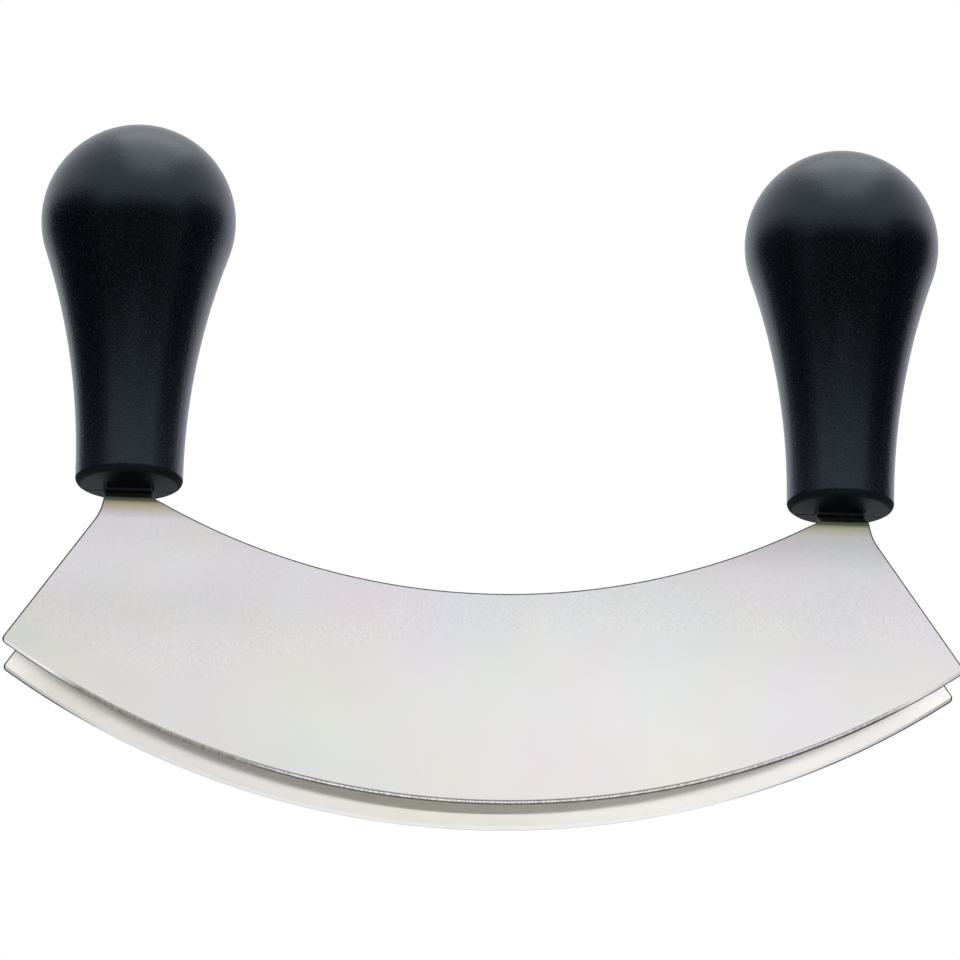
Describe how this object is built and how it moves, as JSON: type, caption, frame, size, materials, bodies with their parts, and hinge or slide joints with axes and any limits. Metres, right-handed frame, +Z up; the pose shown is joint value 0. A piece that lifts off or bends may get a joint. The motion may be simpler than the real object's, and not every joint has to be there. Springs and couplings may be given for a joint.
{
  "type": "mezzaluna",
  "caption": "Rocking herb chopper: parallel crescent steel blades joined at their necks inside upright black ball handles.",
  "frame": {"origin": "bottom centre of the part, under the middle of the cutting edges", "axes": "+X along the blades to the right handle, +Y from the front blade to the rear blade, +Z up to the handles"},
  "size_m": [0.229, 0.0474, 0.1711],
  "materials": {
    "blade_steel": "fine satin",
    "handle_plastic": "fine matt grain",
    "pin_steel": "plain drawn"
  },
  "bodies": {
    "root": {"front_blade": "blade_steel", "rear_blade": "blade_steel", "left_handle_front_shell": "handle_plastic", "left_handle_rear_shell": "handle_plastic", "right_handle_front_shell": "handle_plastic", "right_handle_rear_shell": "handle_plastic", "left_tang_pins": "pin_steel", "right_tang_pins": "pin_steel"}
  },
  "joints": []
}
